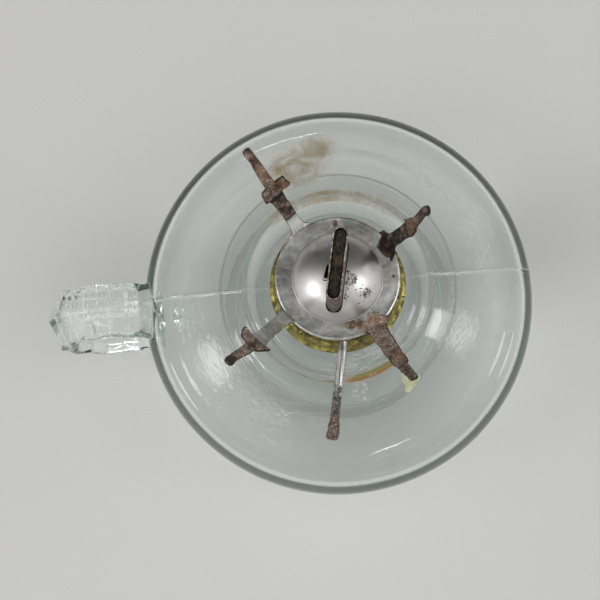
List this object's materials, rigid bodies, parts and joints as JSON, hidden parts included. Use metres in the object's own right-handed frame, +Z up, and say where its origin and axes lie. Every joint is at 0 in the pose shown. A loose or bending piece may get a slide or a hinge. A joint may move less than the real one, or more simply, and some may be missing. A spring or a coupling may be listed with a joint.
{
  "type": "kerosene finger lamp",
  "caption": "Squat pressed-glass kerosene hand lamp with a faceted finger handle, brass collar and a flat-wick burner with splayed chimney prongs.",
  "frame": {"origin": "centre of the foot ring, on the surface that the lamp stands on, on the lamp's axis", "axes": "+Z up along the lamp's axis; -X towards the finger handle; +X is the long direction"},
  "size_m": [0.126, 0.1, 0.0895],
  "materials": {
    "clear_glass": "clear pressed glass with a faint green tint",
    "plaster": "set lamp plaster, off white",
    "aged_brass": "aged brass, mottled green and brown",
    "rusty_tinplate": "tinned sheet with heavy brown rust on the prongs",
    "worn_nickel": "worn nickel plate, polished on the dome",
    "rusty_steel": "bright drawn wire that turns to rust at its outer end",
    "cotton_wick": "woven cotton, charred black at the top"
  },
  "bodies": {
    "lamp": {"glass_foot": "clear_glass", "glass_font": "clear_glass", "glass_shoulder": "clear_glass", "glass_neck": "clear_glass", "glass_handle": "clear_glass", "collar_plaster": "plaster", "brass_collar": "aged_brass"},
    "burner": {"screw_shell": "aged_brass", "base_plate": "aged_brass", "air_basket": "aged_brass", "prong_gallery": "rusty_tinplate", "dome": "worn_nickel", "wick_tube": "worn_nickel", "vent_pocket": "worn_nickel", "ratchet_box": "aged_brass", "spindle_sleeve": "aged_brass"},
    "raiser": {"spindle": "rusty_steel", "star_wheel_1": "aged_brass", "star_wheel_2": "aged_brass", "star_wheel_3": "aged_brass", "retaining_ring": "aged_brass"},
    "wick": {"wick": "cotton_wick"}
  },
  "joints": [
    {"name": "burner_lift", "type": "slide", "parent": "lamp", "child": "burner", "axis": [0, 0, 1], "range_m": [0, 0.055]},
    {"name": "spindle_turn", "type": "hinge", "parent": "burner", "child": "raiser", "pos_m": [0.00314, -0.00059, 0.0563], "axis": [0.184, 0.9829, 0], "range_deg": [-249, 140]},
    {"name": "wick_slide", "type": "slide", "parent": "burner", "child": "wick", "axis": [0, 0, 1], "range_m": [-0.0095, 0.0053]}
  ],
  "couplings": [
    {"joint": "spindle_turn", "follows": "wick_slide", "rad_per_m": 454.55}
  ]
}
